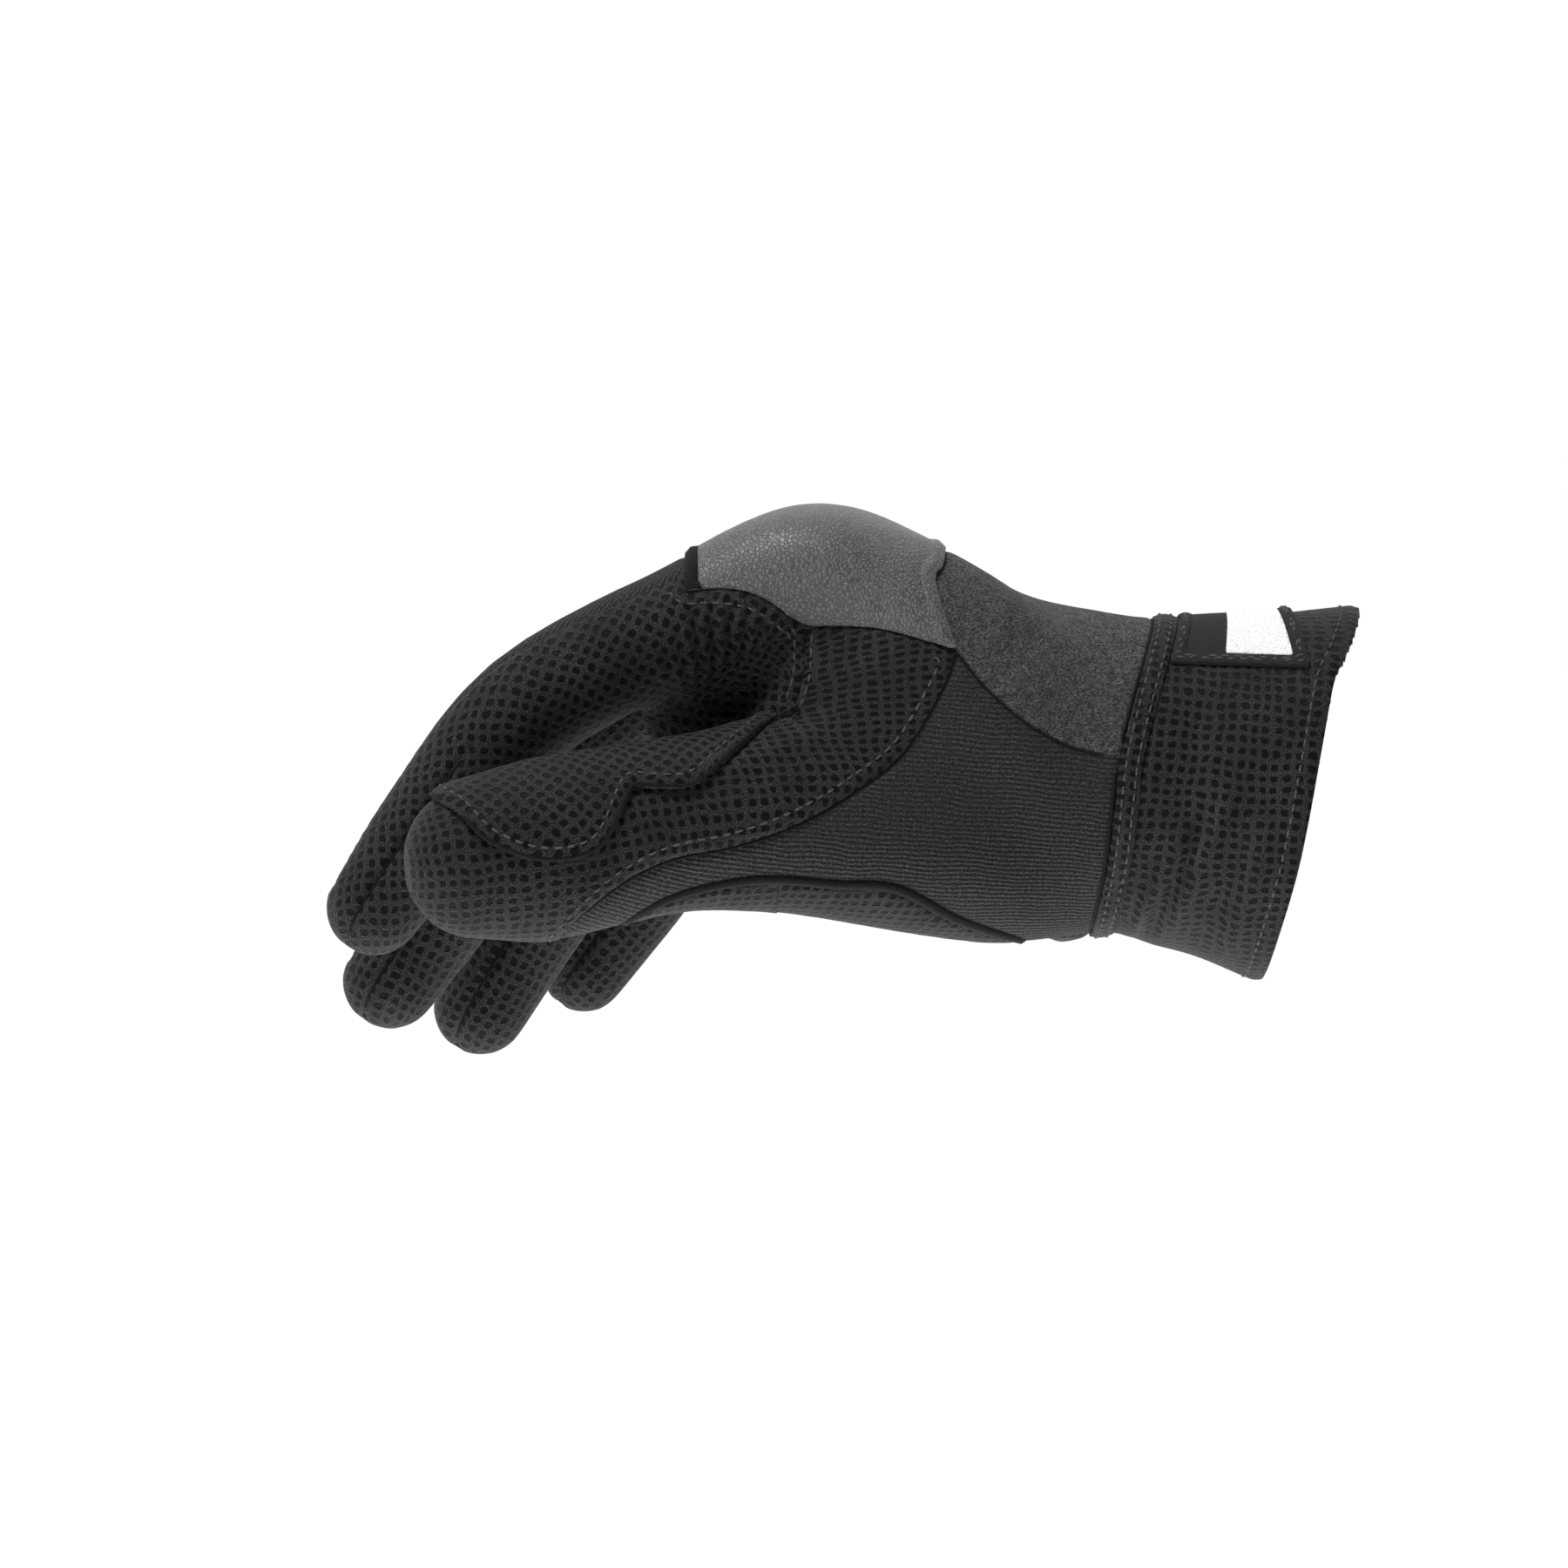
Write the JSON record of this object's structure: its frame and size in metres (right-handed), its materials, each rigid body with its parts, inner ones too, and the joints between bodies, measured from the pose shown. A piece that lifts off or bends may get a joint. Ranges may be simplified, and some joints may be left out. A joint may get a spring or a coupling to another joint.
{
  "type": "mechanic glove",
  "caption": "Right-hand mechanic work glove in its worn form: leather knuckle guard, knit back and side, dotted grip palm and thumb, open cuff with a label.",
  "frame": {"origin": "centre of the cuff's open mouth, where the hand goes in", "axes": "+X out of the cuff's mouth, fingers towards -X, -Y the thumb side, +Z the back of the hand"},
  "size_m": [0.1984, 0.1176, 0.106],
  "materials": {
    "grip_mesh": "coated mesh with small round dots",
    "back_knit": "heather fleece knit",
    "side_knit": "fine ribbed knit",
    "leather": "smooth pebbled leather, half gloss",
    "binding": "rolled edge tape",
    "label": "woven label, plain"
  },
  "bodies": {
    "root": {"cuff": "grip_mesh", "cuff_band": "grip_mesh", "palm_panel": "grip_mesh", "thumb_panel": "grip_mesh", "thumb_patch": "grip_mesh", "thumb_saddle": "grip_mesh", "knuckle_guard": "leather", "guard_binding": "binding", "back_panel": "back_knit", "back_welt": "binding", "side_gusset": "side_knit", "palm_welt": "binding", "index_back": "side_knit", "middle_back": "side_knit", "ring_back": "side_knit", "little_back": "side_knit", "wrist_label": "label", "index_front": "grip_mesh", "middle_front": "grip_mesh", "ring_front": "grip_mesh", "little_front": "grip_mesh"}
  },
  "joints": []
}
